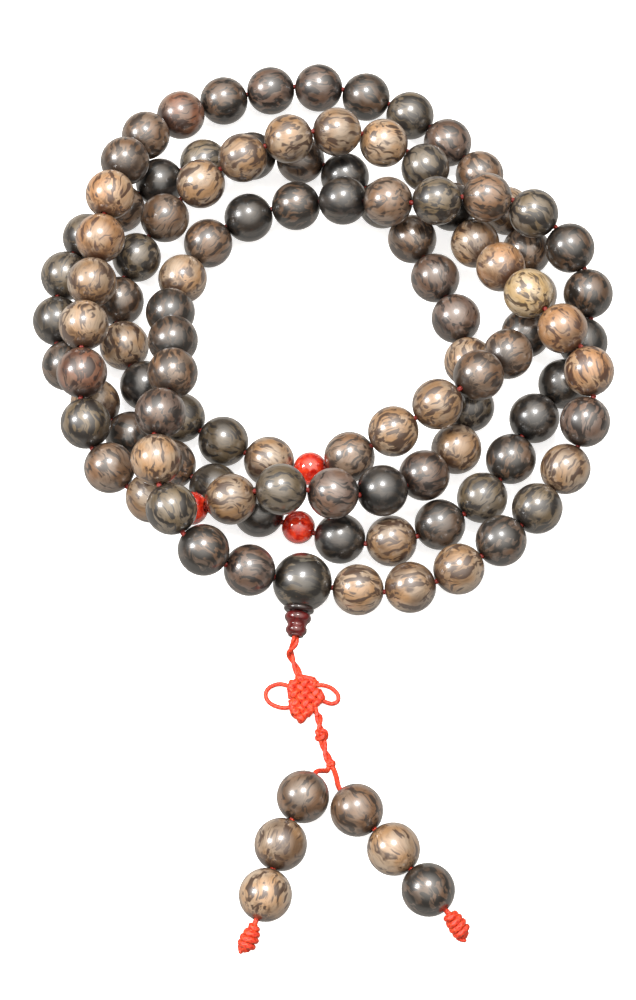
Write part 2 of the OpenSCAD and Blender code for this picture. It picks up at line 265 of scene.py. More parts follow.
def box_middle(node):
    """The middle of a CAD node's box."""
    low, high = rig.box(node)
    return (Vector(low) + Vector(high)) / 2


diameters, centres, axes = strand_layout()
FIRST_SINGLE = 3 * RUN + 1
shift = box_middle("bead_082") - centres[FIRST_SINGLE] * MM


def placed(p):
    """A point of the layout, in metres in the row frame."""
    return Vector(p) * MM + shift


centres = [placed(c) for c in centres]
joints = {j["name"]: j for j in frame["joints"]}


def joint_at(name):
    """A joint's place and the direction of its axis."""
    return Vector(joints[name]["pos_m"]), Vector(joints[name]["axis"]).normalized()


guru, stupa_axis = joint_at("spin_stupa_bead")
pendant_pivot = joint_at("pendant_swing")[0]
lift_pivot = joint_at("knot_lift")[0]


def direction(turn, droop=0):
    """A unit vector, turned from +X about +Z and then pointing down, in degrees."""
    turn, droop = math.radians(turn), math.radians(droop)
    return Vector((math.cos(turn) * math.cos(droop), math.sin(turn) * math.cos(droop),
                   -math.sin(droop)))


# ---------------------------------------------------------------- the camera
# It looks along +Y and steeply down, at the layout's origin in the near part of the coil.
CAMERA_ELEVATION, CAMERA_DISTANCE = 66, 0.56
PICTURE_HEIGHT, FOCAL_IN_PICTURE = 1000, 2845
SENSOR = 36
target = Vector((shift.x, shift.y, 0))
camera = bpy.data.objects.new("camera", bpy.data.cameras.new("camera"))
bpy.context.scene.collection.objects.link(camera)
camera.location = target - CAMERA_DISTANCE * direction(90, CAMERA_ELEVATION)
camera.rotation_euler = (math.radians(90 - CAMERA_ELEVATION), 0, 0)
camera.data.sensor_fit = "VERTICAL"
camera.data.sensor_height = SENSOR
camera.data.lens = SENSOR * FOCAL_IN_PICTURE / PICTURE_HEIGHT
camera.data.clip_start = 0.01
bpy.context.scene.camera = camera


# ---------------------------------------------------------------- node tools
class Shader:
    """A material under construction: its tree, its principled shader and short ways to add."""

    def __init__(self, name, **constants):
        self.material = bpy.data.materials.new(name)
        self.material.use_nodes = True
        self.tree = self.material.node_tree
        self.bsdf = self.tree.nodes["Principled BSDF"]
        for socket, value in constants.items():
            self.bsdf.inputs[socket.replace("_", " ")].default_value = value

    def add(self, kind, inputs=(), **settings):
        node = self.tree.nodes.new("ShaderNode" + kind)
        for name, value in settings.items():
            setattr(node, name, value)
        for key, value in dict(inputs).items():
            if isinstance(value, bpy.types.NodeSocket):
                self.tree.links.new(value, node.inputs[key])
            else:
                node.inputs[key].default_value = value
        return node

    def to(self, socket, value):
        self.tree.links.new(value, self.bsdf.inputs[socket])

    def math(self, operation, a, b=0.0):
        return self.add("Math", {0: a, 1: b}, operation=operation).outputs[0]

    def vector(self, operation, a, b=(0, 0, 0)):
        node = self.add("VectorMath", {0: a, 1: b}, operation=operation)
        return node.outputs["Value" if operation == "LENGTH" else "Vector"]

    def mix(self, share, a, b):
        node = self.add("Mix", {0: share, 6: a, 7: b}, data_type="RGBA")
        return node.outputs[2]

    def ramp(self, value, low, high, to_low=0.0, to_high=1.0):
        inputs = {"Value": value, "From Min": low, "From Max": high,
                  "To Min": to_low, "To Max": to_high}
        return self.add("MapRange", inputs, interpolation_type="SMOOTHSTEP").outputs[0]

    def noise(self, place, scale, detail=2.0, roughness=0.5, distortion=0.0):
        inputs = {"Vector": place, "Scale": scale, "Detail": detail,
                  "Roughness": roughness, "Distortion": distortion}
        return self.add("TexNoise", inputs).outputs["Fac"]

    def own(self, name, output):
        """A custom property of the object that wears the material."""
        return self.add("Attribute", attribute_type="OBJECT", attribute_name=name).outputs[output]

    def bump(self, height, distance, strength=1.0):
        node = self.add("Bump", {"Height": height, "Distance": distance, "Strength": strength})
        self.to("Normal", node.outputs["Normal"])


def seed_material():
    """Polished palm seed: a base that drifts between two colours, dark strokes and lines that
    run from hole to hole, and painted shade at the ends where neighbouring beads touch. Each
    bead's own properties choose the colours."""
    s = Shader("palm_seed", Coat_Weight=1.0, Coat_Roughness=0.18, Coat_IOR=1.5,
               Specular_IOR_Level=0.7)
    place = s.add("TexCoord").outputs["Object"]
    moved = s.vector("ADD", place, s.own("seed", "Vector"))
    bent = s.add("TexNoise", {"Vector": moved, "Scale": 260.0, "Detail": 1.0}).outputs["Color"]
    sway = 0.0032
    bend = s.vector("MULTIPLY", s.vector("SUBTRACT", bent, (0.5, 0.5, 0.5)), (sway, sway, sway))
    swayed = s.vector("ADD", moved, bend)
    along = s.vector("MULTIPLY", swayed, (1, 1, 0.24))
    vein = s.own("vein", "Color")
    drift = s.noise(moved, scale=230)
    colour = s.mix(s.ramp(drift, 0.36, 0.62), s.own("base", "Color"), s.own("warm", "Color"))
    fine = s.vector("MULTIPLY", swayed, (1, 1, 0.12))
    grain = s.noise(fine, scale=1900, detail=3, roughness=0.6)
    colour = s.mix(s.ramp(grain, 0.42, 0.78, 0, 0.5), colour, vein)
    blots = s.noise(along, scale=820)
    limit = s.own("flecks", "Fac")
    strokes = s.ramp(s.math("SUBTRACT", blots, limit), -0.02, 0.05)
    ridge = s.math("ABSOLUTE", s.math("SUBTRACT", s.noise(along, scale=340, detail=1), 0.5))
    broken = s.ramp(s.noise(moved, scale=420), 0.44, 0.60)
    lines = s.math("MULTIPLY", s.ramp(ridge, 0.010, 0.040, 1, 0), broken)
    marks = s.math("MAXIMUM", strokes, lines)
    colour = s.mix(s.math("MULTIPLY", marks, 0.96), colour, vein)
    shadow = s.ramp(s.noise(moved, scale=150, detail=1), 0.46, 0.66, 0, 0.75)
    colour = s.mix(s.math("MULTIPLY", shadow, s.own("dusk", "Fac")), colour, vein)
    # Painted shade: the ends round each hole, where the bead meets its neighbours, darken towards the marks' colour.
    # The edge is ragged, and a property of the bead's own makes one end darker.
    off_axis = s.vector("LENGTH", s.vector("MULTIPLY", place, (1, 1, 0)))
    end_shade_edge = s.math("ADD", off_axis, s.ramp(blots, 0.3, 0.7, -0.0012, 0.0012))
    height = s.add("SeparateXYZ", {0: place}).outputs[2]
    end_shade_edge = s.math("SUBTRACT", end_shade_edge, s.math("MULTIPLY", height, s.own("lean", "Fac")))
    colour = s.mix(s.ramp(end_shade_edge, 0.0008, 0.0036, 0.95, 0), colour, vein)
    s.to("Base Color", colour)
    s.to("Roughness", s.ramp(s.math("ADD", grain, marks), 0.3, 1.6, 0.30, 0.42))
    s.bump(s.math("SUBTRACT", grain, s.math("MULTIPLY", marks, 0.6)), 0.00002, 0.3)
    return s.material


def glass_material():
    """Deep red glass with faint swirls."""
    s = Shader("red_glass", Roughness=0.05, IOR=1.5, Transmission_Weight=0.45,
               Coat_Weight=1.0, Coat_Roughness=0.03)
    place = s.add("TexCoord").outputs["Object"]
    moved = s.vector("ADD", place, s.own("seed", "Vector"))
    swirl = s.noise(moved, scale=420, detail=3, distortion=2.0)
    s.to("Base Color", s.mix(s.ramp(swirl, 0.35, 0.65), (0.78, 0.055, 0.018, 1),
                             (0.46, 0.012, 0.006, 1)))
    s.bump(swirl, 0.00002, 0.2)
    return s.material


def turned_material(name, light, dark, roughness):
    """A turned and polished piece with rings of tool marks and faint figure."""
    s = Shader(name, Coat_Weight=0.7, Coat_Roughness=0.08, Coat_IOR=1.5,
               Specular_IOR_Level=0.3)
    place = s.add("TexCoord").outputs["Object"]
    drawn_out = s.vector("MULTIPLY", place, (1, 1, 0.3))
    figure = s.noise(drawn_out, scale=900, detail=4, roughness=0.6, distortion=0.8)
    rings = s.noise(s.vector("MULTIPLY", place, (0.02, 0.02, 1)), scale=5200)
    s.to("Base Color", s.mix(s.ramp(figure, 0.35, 0.68), light, dark))
    s.to("Roughness", s.ramp(rings, 0.3, 0.7, roughness, roughness + 0.12))
    s.bump(rings, 0.00002, 0.4)
    return s.material


BRAID_STRANDS = 4
BRAID_STEP = 0.9


def cord_material():
    """Braided nylon: two sets of strands that cross round the cord, with fine fibres and painted
    shade in the grooves between the strands. An object's own property paints shade on the cord
    that lies between the beads."""
    s = Shader("red_cord", Sheen_Weight=0.25, Sheen_Roughness=0.4, Sheen_Tint=(1, 0.4, 0.15, 1),
               Roughness=0.5, Subsurface_Weight=0.12, Subsurface_Scale=0.0004,
               Subsurface_Radius=(1, 0.2, 0.1))
    flat = s.add("SeparateXYZ", {0: s.add("UVMap", uv_map="lay").outputs[0]})
    length, around = flat.outputs[0], flat.outputs[1]
    turn = s.math("MULTIPLY", around, 2 * math.pi * BRAID_STRANDS)
    step = s.math("MULTIPLY", length, 2 * math.pi / BRAID_STEP)
    one = s.math("SINE", s.math("ADD", step, turn))
    other = s.math("SINE", s.math("SUBTRACT", step, turn))
    braid = s.math("MAXIMUM", one, other)
    place = s.add("TexCoord").outputs["Object"]
    fibres = s.noise(place, scale=9000)
    dyed = s.noise(place, scale=500)
    # Painted shade in the braid's grooves, broken up by the fibres: the low places go dark red.
    groove_shade = s.ramp(s.math("ADD", braid, fibres), 0.2, 1.5)
    worn = s.mix(s.ramp(dyed, 0.35, 0.65), (0.54, 0.026, 0.005, 1), (0.61, 0.046, 0.008, 1))
    colour = s.mix(groove_shade, (0.38, 0.013, 0.004, 1), worn)
    # Painted shade on the cord in the gaps between beads: an object's own property mixes it towards a dark red.
    s.to("Base Color", s.mix(s.own("gap_shade", "Fac"), colour, (0.13, 0.005, 0.003, 1)))
    s.bump(s.math("ADD", braid, s.math("MULTIPLY", fibres, 0.8)), 0.00006, 0.7)
    return s.material


SEED = seed_material()
GLASS = glass_material()
COLLAR = turned_material("dark_collar", (0.022, 0.011, 0.010, 1), (0.008, 0.005, 0.005, 1), 0.3)
STUPA = turned_material("stupa_resin", (0.09, 0.007, 0.007, 1), (0.03, 0.004, 0.004, 1), 0.25)
CORD = cord_material()


# ---------------------------------------------------------------- mesh tools
def add_object(name, mesh, material, slot, body, *nodes):
    """A new object that replaces CAD nodes. With body None it rides on nothing yet."""
    thing = bpy.data.objects.new(name, mesh)
    bpy.context.scene.collection.objects.link(thing)
    if not mesh.materials:
        mesh.materials.append(material)
    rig.slot(thing, slot)
    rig.replaces(thing, *nodes)
    if body:
        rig.ride(thing, body)
    return thing


def aim(axis, at=Vector((0, 0, 0)), spin=0.0):
    """The matrix that stands a piece's +Z along an axis, at a point."""
    turn = UP.rotation_difference(axis).to_matrix().to_4x4()
    return Matrix.Translation(at) @ turn @ Matrix.Rotation(spin, 4, "Z")


def finish_mesh(bm, name):
    """Turns a bmesh into a smooth-shaded mesh with its faces outward."""
    bmesh.ops.recalc_face_normals(bm, faces=bm.faces)
    mesh = bpy.data.meshes.new(name)
    bm.to_mesh(mesh)
    bm.free()
    mesh.polygons.foreach_set("use_smooth", [True] * len(mesh.polygons))
    return mesh


def turned_mesh(name, profile, segments=64):
    """Turns a closed half section, a list of (radius, height) in metres, about Z."""
    bm = bmesh.new()
    rings = []
    for k in range(segments):
        a = 2 * math.pi * k / segments
        rings.append([bm.verts.new((r * math.cos(a), r * math.sin(a), z)) for r, z in profile])
    for k, ring in enumerate(rings):
        after = rings[(k + 1) % segments]
        for i in range(len(profile)):
            j = (i + 1) % len(profile)
            bm.faces.new((ring[i], after[i], after[j], ring[j]))
    return finish_mesh(bm, name)


def arc(centre, radius, start, end, steps):
    """Points of an arc in a half section, angles in degrees from the radius direction."""
    return [(centre[0] + radius * math.cos(math.radians(start + (end - start) * k / steps)),
             centre[1] + radius * math.sin(math.radians(start + (end - start) * k / steps)))
            for k in range(steps + 1)]


# The seeds' holes open less wide than the CAD's, so that the cord nearly fills them.
SEEN_BORE_D = 1.3
SEED_LIP, DIVIDER_LIP, GURU_LIP = 0.15, 0.3, 0.4


def bead_profile(d, bore, lip):
    """A ball's half section with a hole whose mouths are rounded by the lip's radius."""
    r, hole = d / 2, bore / 2
    lip_out = hole + lip
    lip_up = math.sqrt((r - lip) ** 2 - lip_out ** 2)
    edge = math.degrees(math.atan2(lip_up, lip_out))
    profile = arc((0, 0), r, -edge, edge, 26)[1:-1]
    profile += arc((lip_out, lip_up), lip, edge, 180, 5)
    profile += [(hole, lip_up * 0.5), (hole, 0), (hole, -lip_up * 0.5)]
    profile += arc((lip_out, -lip_up), lip, 180, 360 - edge, 5)
    return profile


def catmull(points, steps, closed=False):
    """A smooth run of points through the given ones."""
    points = [Vector(p) for p in points]
    n = len(points)
    if not closed:
        points = [2 * points[0] - points[1], *points, 2 * points[-1] - points[-2]]
        run = [smooth(*points[i:i + 4], k / steps) for i in range(n - 1) for k in range(steps)]
        return run + [points[-2]]
    return [smooth(points[i - 1], points[i], points[(i + 1) % n], points[(i + 2) % n], k / steps)
            for i in range(n) for k in range(steps)]


def frames(points, closed=False):
    """Tangent and two square directions at each point, carried along without twist."""
    n = len(points)
    result, side = [], None
    for i in range(n):
        ahead = points[(i + 1) % n] if closed or i < n - 1 else points[i]
        behind = points[i - 1] if closed or i else points[i]
        tangent = (ahead - behind).normalized()
        guide = side or (UP if abs(tangent.z) < 0.9 else Vector((1, 0, 0)))
        side = (guide - tangent * guide.dot(tangent)).normalized()
        result.append((tangent, side, tangent.cross(side)))
    return result


def lay_tube(bm, points, radius, sides=10, closed=False, taper=None):
    """Adds a tube along points, with length in millimetres and turn in its lay coordinates."""
    uv = bm.loops.layers.uv.get("lay") or bm.loops.layers.uv.new("lay")
    rings, lengths, n = [], [0.0], len(points)
    for i, (_, side, rise) in enumerate(frames(points, closed)):
        r = radius * (taper(i / (n - 1)) if taper else 1)
        turns = [2 * math.pi * k / sides for k in range(sides)]
        rings.append([bm.verts.new(points[i] + r * (math.cos(a) * side + math.sin(a) * rise))
                      for a in turns])
        lengths.append(lengths[-1] + (points[(i + 1) % n] - points[i]).length / MM)
    for i in range(n if closed else n - 1):
        a, b = rings[i], rings[(i + 1) % n]
        for k in range(sides):
            m = (k + 1) % sides
            face = bm.faces.new((a[k], a[m], b[m], b[k]))
            corners = ((0, k), (0, k + 1), (1, k + 1), (1, k))
            for loop, (step, turn) in zip(face.loops, corners):
                loop[uv].uv = (lengths[i + step], turn / sides)
    if closed:
        return
    for ring, point, out in ((rings[0], points[0], points[0] - points[1]),
                             (rings[-1], points[-1], points[-1] - points[-2])):
        r = radius * (taper(0 if ring is rings[0] else 1) if taper else 1)
        tip = bm.verts.new(point + out.normalized() * r * 0.6)
        for k in range(sides):
            face = bm.faces.new((ring[k], ring[(k + 1) % sides], tip))
            for loop in face.loops:
                loop[uv].uv = (0, k / sides)


def tube_mesh(name, *runs, **options):
    """One mesh of several tubes, each (points, radius)."""
    bm = bmesh.new()
    for points, radius in runs:
        lay_tube(bm, points, radius, **options)
    return finish_mesh(bm, name)


def twisted(points, offset, pitch, phase=0.0):
    """The two strands of a doubled cord, wound round each other along a run."""
    strands = ([], [])
    gone = 0.0
    for i, (_, side, rise) in enumerate(frames(points)):
        if i:
            gone += (points[i] - points[i - 1]).length
        a = phase + 2 * math.pi * gone / pitch
        away = offset * (math.cos(a) * side + math.sin(a) * rise)
        strands[0].append(points[i] + away)
        strands[1].append(points[i] - away)
    return strands


# ---------------------------------------------------------------- the tail cords
# Sizes are in millimetres. A cord runs straight inside each bead for this share of the
# bead's diameter on both sides of its middle.
STRAIGHT_SHARE = 0.3
STRAND_R, STRAND_OFFSET = 0.42, 0.36
TAIL_ENTRY_GAP, TAIL_LIFT, TAIL_DIP = 0.6, 0.2, 0.5
TAIL_END_DEPTHS = (0.5, 3)
WRAPS, WRAP_STEPS, WRAP_R = 4, 90, 0.6
WRAP_START, WRAP_SLANT, WRAP_ENDS = 0.7, 0.35, 1.6
KNOT_CORE_R = 1.0
STUB_RISE, STUB_PAST, STUB_ASIDE = 0.35, 0.2, 0.5
# How full each end knot is near its start, as a share of its widest turn
END_KNOT_NECKS = {"left": 0.2, "right": 0.6}


def tail(side):
    """Centres, hole directions and the end knot's start and direction of one tail."""
    beads = [joint_at(f"spin_{side}_tail_bead_{i}") for i in (1, 2, 3)]
    last, last_dir = beads[2]
    start = last + last_dir * (BEAD_D / 2 + END_KNOT_GAP) * MM - UP * END_KNOT_DROP * MM
    return beads, start, direction(END_KNOT_TURNS[side], END_KNOT_DROOP)


def tail_cord(side):
    """One tail's single cord, from the split to its end knot, bent at the tail's joint."""
    beads, knot_start, knot_dir = tail(side)
    split = joint_at(f"{side}_tail_swing")[0]
    bend = joint_at(f"{side}_tail_bend")[0]
    first, first_dir = beads[0]
    entry = first - first_dir * (BEAD_D / 2 + TAIL_ENTRY_GAP) * MM
    inside = BEAD_D * STRAIGHT_SHARE * MM
    route = [split, split.lerp(entry, 0.4) + UP * TAIL_LIFT * MM, entry - UP * TAIL_DIP * MM,
             first - first_dir * inside, first + first_dir * inside, bend]
    for centre, axis in beads[1:]:
        route += [centre - axis * inside, centre + axis * inside]
    route += [knot_start + knot_dir * depth * MM for depth in TAIL_END_DEPTHS]
    path = catmull(route, 8)
    mesh = tube_mesh(f"{side}_tail_cord", (path, CORD_D / 2 * MM), sides=12)
    thing = add_object(f"{side}_tail_cord", mesh, CORD, "red_cord", None,
                       f"{side}_cord_upper", f"{side}_cord_lower")
    reach = (beads[1][0] - first).normalized() * MM
    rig.blend(thing, f"{side}_tail", f"{side}_tail_end", start=bend - reach, end=bend + reach)
    length = sum((b - a).length for a, b in zip(path, path[1:]))
    return thing, path, length


def end_knot(side):
    """A wrapped end knot: turns of cord round the cord's own end, fuller towards the end."""
    _, start, along = tail(side)
    side_way = along.cross(UP).normalized()
    rise = side_way.cross(along)
    neck = END_KNOT_NECKS[side]
    length = (END_KNOT_LENGTH - WRAP_ENDS) * MM
    points = []
    for k in range(WRAP_STEPS + 1):
        t = k / WRAP_STEPS
        swell = neck + (1 - neck) * math.sin(math.pi * (0.05 + 0.72 * t))
        r = (END_KNOT_D / 2 * MM - WRAP_R * MM) * swell
        a = 2 * math.pi * WRAPS * t
        slant = WRAP_SLANT * MM * math.cos(a) * min(1, 4 * t, 4 * (1 - t))
        points.append(start + along * (WRAP_START * MM + length * t + slant)
                      + r * (math.cos(a) * side_way + math.sin(a) * rise))
    core = [start + along * END_KNOT_LENGTH * MM * t for t in (0.05, 0.35, 0.7, 0.92)]
    stub_end = start + along * (END_KNOT_LENGTH + STUB_PAST) * MM + side_way * STUB_ASIDE * MM
    stub = [points[-1], points[-1] + along * STUB_RISE * MM, stub_end]
    bm = bmesh.new()
    lay_tube(bm, points, WRAP_R * MM, 10)
    lay_tube(bm, catmull(core, 4), KNOT_CORE_R * MM, 12,
             taper=lambda t: 0.5 + 0.75 * math.sin(math.pi * min(1, t * 0.8 + 0.05)))
    lay_tube(bm, catmull(stub, 4), STRAND_R * MM, 8)
    return add_object(f"{side}_wrapped_knot", finish_mesh(bm, f"{side}_wrapped_knot"), CORD,
                      "red_cord", f"{side}_tail_end", f"{side}_end_knot")


for side in ("left", "right"):
    cord, path, length = tail_cord(side)
    knot = end_knot(side)
    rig.cord(cord, exit=path[0], length=length, diameter=CORD_D * MM, far_end="knot",
            stiffness="limp", lay="loose", path=path, with_pieces=[knot])

# ---------------------------------------------------------------- the beads
# The bead tones, in order from the guru bead. T is light tan, O orange tan, B brown,
# G olive grey, D dark, K nearly black, Y yellowish, M mauve brown and R reddish brown.
QUARTERS = ["MDGTMBDDTBKDKBGBGDDKKKDGDTK", "KGBDTDGGGBKGDBKGBMMTGTMKMGT",
            "TBGRTTOOBBRDMMDGMBTBTDBBTTB", "TGGKTBGBTTTTTGKTOYOOMTGDTTT"]
TAILS = {"left": "BTT", "right": "BTD"}
# Each tone: its main colour, the colour it drifts to, its marks' colour and how few marks
TONES = {
    "T": ((0.252, 0.188, 0.130), (0.240, 0.140, 0.068), (0.040, 0.019, 0.010), 0.54),
    "O": ((0.290, 0.195, 0.118), (0.280, 0.145, 0.064), (0.048, 0.019, 0.009), 0.56),
    "Y": ((0.360, 0.280, 0.180), (0.310, 0.205, 0.085), (0.044, 0.024, 0.010), 0.56),
    "B": ((0.155, 0.108, 0.076), (0.140, 0.076, 0.040), (0.018, 0.010, 0.006), 0.525),
    "R": ((0.190, 0.120, 0.085), (0.170, 0.070, 0.038), (0.022, 0.009, 0.006), 0.53),
    "M": ((0.104, 0.072, 0.058), (0.098, 0.056, 0.036), (0.008, 0.005, 0.004), 0.52),
    "G": ((0.115, 0.093, 0.068), (0.105, 0.076, 0.043), (0.008, 0.006, 0.005), 0.52),
    "D": ((0.070, 0.050, 0.038), (0.084, 0.048, 0.028), (0.004, 0.003, 0.002), 0.495),
    "K": ((0.030, 0.025, 0.022), (0.038, 0.028, 0.020), (0.002, 0.002, 0.002), 0.49),
    "guru": ((0.082, 0.074, 0.058), (0.088, 0.062, 0.035), (0.004, 0.003, 0.002), 0.475),
}
# The ranges in which single beads differ; the fourth tips the painted shade at a bead's ends towards one end.
LIGHTER, FEWER, DUSK, END_SHADE_TILT = (0.82, 1.18), (-0.03, 0.04), (0, 1), (-0.3, 0.3)
OUT_OF_ROUND = (0.995, 1.006)
PATTERN_REACH = (-1, 1)
draw = random.Random(108)


def dress(thing, tone):
    """Gives a bead its tone, a little lighter or darker than the rest, and its own pattern."""
    base, warm, vein, few = TONES[tone]
    light = draw.uniform(*LIGHTER)
    thing["base"] = [c * light for c in base]
    thing["warm"] = [c * light for c in warm]
    thing["vein"] = list(vein)
    thing["flecks"] = few + draw.uniform(*FEWER)
    thing["dusk"] = draw.uniform(*DUSK)
    # How far the painted shade at the bead's ends tips towards one end
    thing["lean"] = draw.uniform(*END_SHADE_TILT)
    thing["seed"] = [draw.uniform(*PATTERN_REACH) for _ in range(3)]


def seed_bead(name, at, axis, tone, body, node):
    """One bead, turned at random on its cord and a trace out of round."""
    thing = add_object(name, bead_mesh, SEED, "palm_seed", None, node)
    thing.matrix_world = aim(axis, at, draw.uniform(0, 2 * math.pi))
    thing.scale = [draw.uniform(*OUT_OF_ROUND), draw.uniform(*OUT_OF_ROUND), OUT_OF_ROUND[1]]
    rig.ride(thing, body)
    dress(thing, tone)


bead_mesh = turned_mesh("seed_bead", bead_profile(BEAD_D * MM, SEEN_BORE_D * MM, SEED_LIP * MM))
GROUPS = ["beads_first_quarter", "beads_second_quarter", "beads_third_quarter"]
for quarter, tones in enumerate(QUARTERS):
    for k, tone in enumerate(tones, 1):
        number = quarter * BEADS_A_TURN + k
        item = quarter * RUN + k
        own = f"bead_{number:03d}"
        body, node = ("strand", GROUPS[quarter]) if quarter < 3 else (own, own)
        seed_bead(f"seed_{own}", centres[item], axes[item], tone, body, node)

for side, tones in TAILS.items():
    for i, tone in enumerate(tones, 1):
        node = f"{side}_tail_bead_{i}"
        at, axis = joint_at(f"spin_{node}")
        seed_bead(f"{side}_tail_seed_{i}", at, axis, tone, node, node)

divider_mesh = turned_mesh("divider",
                           bead_profile(DIVIDER_D * MM, BORE_D * MM, DIVIDER_LIP * MM), 48)
for k, node in enumerate(("divider_first", "divider_second", "divider_third"), 1):
    item = k * RUN
    thing = add_object(f"glass_{node}", divider_mesh, GLASS, "red_glass", None, node)
    thing.matrix_world = aim(axes[item], centres[item])
    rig.ride(thing, node)
    thing["seed"] = [draw.uniform(*PATTERN_REACH) for _ in range(3)]


DRILL_LENGTH, DRILL_TIP = 7, 0.0001


def guru_mesh():
    """The guru bead, with its third hole cut square to the string for the stupa."""
    mesh = turned_mesh("guru", bead_profile(GURU_D * MM, BORE_D * MM, GURU_LIP * MM), 72)
    ball = bpy.data.objects.new("guru_blank", mesh)
    hole = STUPA_BORE_D / 2 * MM
    tip, depth = DRILL_TIP * MM, DRILL_LENGTH * MM
    drill_mesh = turned_mesh("drill", [(tip, 0), (hole, 0), (hole, depth), (tip, depth)], 32)
    drill = bpy.data.objects.new("drill", drill_mesh)
    drill.matrix_world = aim(axes[0]).inverted() @ aim(stupa_axis)
    for thing in (ball, drill):
        bpy.context.scene.collection.objects.link(thing)
    cut = ball.modifiers.new("third_hole", "BOOLEAN")
    cut.operation, cut.object, cut.solver = "DIFFERENCE", drill, "EXACT"
    bpy.context.view_layer.update()
    drilled = ball.evaluated_get(bpy.context.evaluated_depsgraph_get())
    done = bpy.data.meshes.new_from_object(drilled)
    for thing in (ball, drill):
        bpy.data.objects.remove(thing)
    return done


guru_bead = add_object("guru_seed", guru_mesh(), SEED, "guru_seed", None, "guru_bead")
guru_bead.matrix_world = aim(axes[0], guru)
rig.ride(guru_bead, "strand")
dress(guru_bead, "guru")

# ---------------------------------------------------------------- the stupa
# Its heights are distances from the guru bead's middle, in millimetres.
COLLAR_START, COLLAR_LENGTH, CLEAR = 4.4, 1.5, 0.12
COLLAR_RIM, SEAT_RIM = 2.9, 2.55
TIER_LENGTH = 2.4
UPPER_START = COLLAR_START + COLLAR_LENGTH + CLEAR


def collar_profile():
    """A ring hollowed to sit against the guru bead, with a rounded rim and a fine groove."""
    hole, rim, top = STUPA_BORE_D / 2, COLLAR_RIM, COLLAR_START + COLLAR_LENGTH
    seat = GURU_D / 2 + CLEAR
    seat_edge = math.degrees(math.acos(SEAT_RIM / seat))
    points = arc((0, 0), seat, math.degrees(math.acos(hole / seat)), seat_edge, 5)
    points += arc((rim - 0.55, top - 0.5), 0.55, -50, 80, 8)
    points += [(rim - 0.75, top + 0.02), (rim - 0.85, top - 0.10), (rim - 0.95, top), (hole, top)]
    return [(r * MM, z * MM) for r, z in points]


def stupa_profile():
    """Two round-rimmed tiers with a narrow neck between them and a small rim at the mouth."""
    hole, low = STUPA_BORE_D / 2, UPPER_START
    middle = low + TIER_LENGTH
    end = middle + TIER_LENGTH
    points = [(hole, low), (1.75, low)]
    points += arc((1.55, low + 1.05), 1.0, -70, 60, 12)
    points += [(1.93, middle - 0.14), (1.78, middle), (1.80, middle + 0.15)]
    points += arc((1.05, middle + 1.1), 1.0, -40, 62, 10)
    points += arc((1.25, end - 0.24), 0.24, 0, 90, 4)
    points += [(hole, end)]
    return [(r * MM, z * MM) for r, z in points]


for name, profile, material, slot, node in (
        ("stupa_seat_ring", collar_profile(), COLLAR, "dark_collar", "stupa_collar"),
        ("stupa_tiers", stupa_profile(), STUPA, "stupa_resin", "stupa_bead")):
    thing = add_object(name, turned_mesh(name, profile), material, slot, None, node)
    thing.matrix_world = aim(stupa_axis, guru)
    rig.ride(thing, node)


# ---------------------------------------------------------------- the cords in the strand
# How far the painted shade darkens the cord in the gaps between the beads
MAIN_CORD_GAP_SHADE = 0.85
CORE_START, PENDANT_OVERLAP = 1.6, 0.3


def main_cord():
    """The closed cord: straight along each bead's hole and across each gap."""
    points = []
    gaps = crossings([d * MM for d in diameters], centres, axes)
    for d, centre, axis, gap in zip(diameters, centres, axes, gaps):
        inside = STRAIGHT_SHARE * d * MM * axis
        points += [centre - inside, centre + inside, gap]
    mesh = tube_mesh("main_cord_braid", (catmull(points, 2, closed=True), CORD_D / 2 * MM),
                     sides=10, closed=True)
    thing = add_object("main_cord_braid", mesh, CORD, "red_cord", "strand", "main_cord")
    thing["gap_shade"] = MAIN_CORD_GAP_SHADE


def doubled(name, points, body, node, phase=0.0, pitch=6.0):
    """A doubled cord: two strands laid side by side with a slow twist."""
    run = catmull(points, 8)
    pair = twisted(run, STRAND_OFFSET * MM, pitch * MM, phase)
    mesh = tube_mesh(name, *((strand, STRAND_R * MM) for strand in pair))
    add_object(name, mesh, CORD, "red_cord", body, node)


main_cord()
core_start = guru + CORE_START * MM * stupa_axis
core_end = pendant_pivot - (DOUBLE_CORD_D / 2 + CLEAR) * MM * stupa_axis
doubled("guru_core_strands", [core_start, core_start.lerp(core_end, 0.5), core_end],
        "strand", "guru_core_cord")

# ---------------------------------------------------------------- the pendant
doubled("pendant_strands",
        [pendant_pivot - PENDANT_OVERLAP * MM * stupa_axis,
         *[placed(p) for p in PENDANT_ROUTE], placed((-3.2, -38.4, 1.1))],
        "pendant", "pendant_cord", phase=0.4, pitch=7.5)

# The endless knot is a basket weave of two long runs of cord, turned on its corner. Its
# outline, from its middle, goes round from the top in millimetres.
KNOT_OUTLINE = [(-1.2, 5.5), (-3.6, 3.5), (-3.2, -0.6), (-2.4, -4.3), (-0.7, -5.5),
                (3.8, 0.2), (2.1, 3.4)]
KNOT_CORD_R = 0.68
KNOT_PITCH = 1.45
KNOT_TILT = 47
WEAVE_HEIGHT = 0.5
WEAVE_STEPS = 18
MOST_PASSES = 5
SHORTEST_PASS = 1.8
# The weave has this share of its height at its edge, and gains a whole height in this reach.
EDGE_SHARE, EDGE_REACH = 0.35, 0.8


def chord(outline, origin, along):
    """Where the line from origin crosses the outline: its least and greatest distances."""
    across = Vector((-along.y, along.x))
    reaches = []
    for a, b in zip(outline, outline[1:] + outline[:1]):
        da, db = (a - origin).dot(across), (b - origin).dot(across)
        if (da < 0) != (db < 0):
            point = a.lerp(b, da / (da - db))
            reaches.append((point - origin).dot(along))
    return (min(reaches), max(reaches)) if len(reaches) > 1 else None


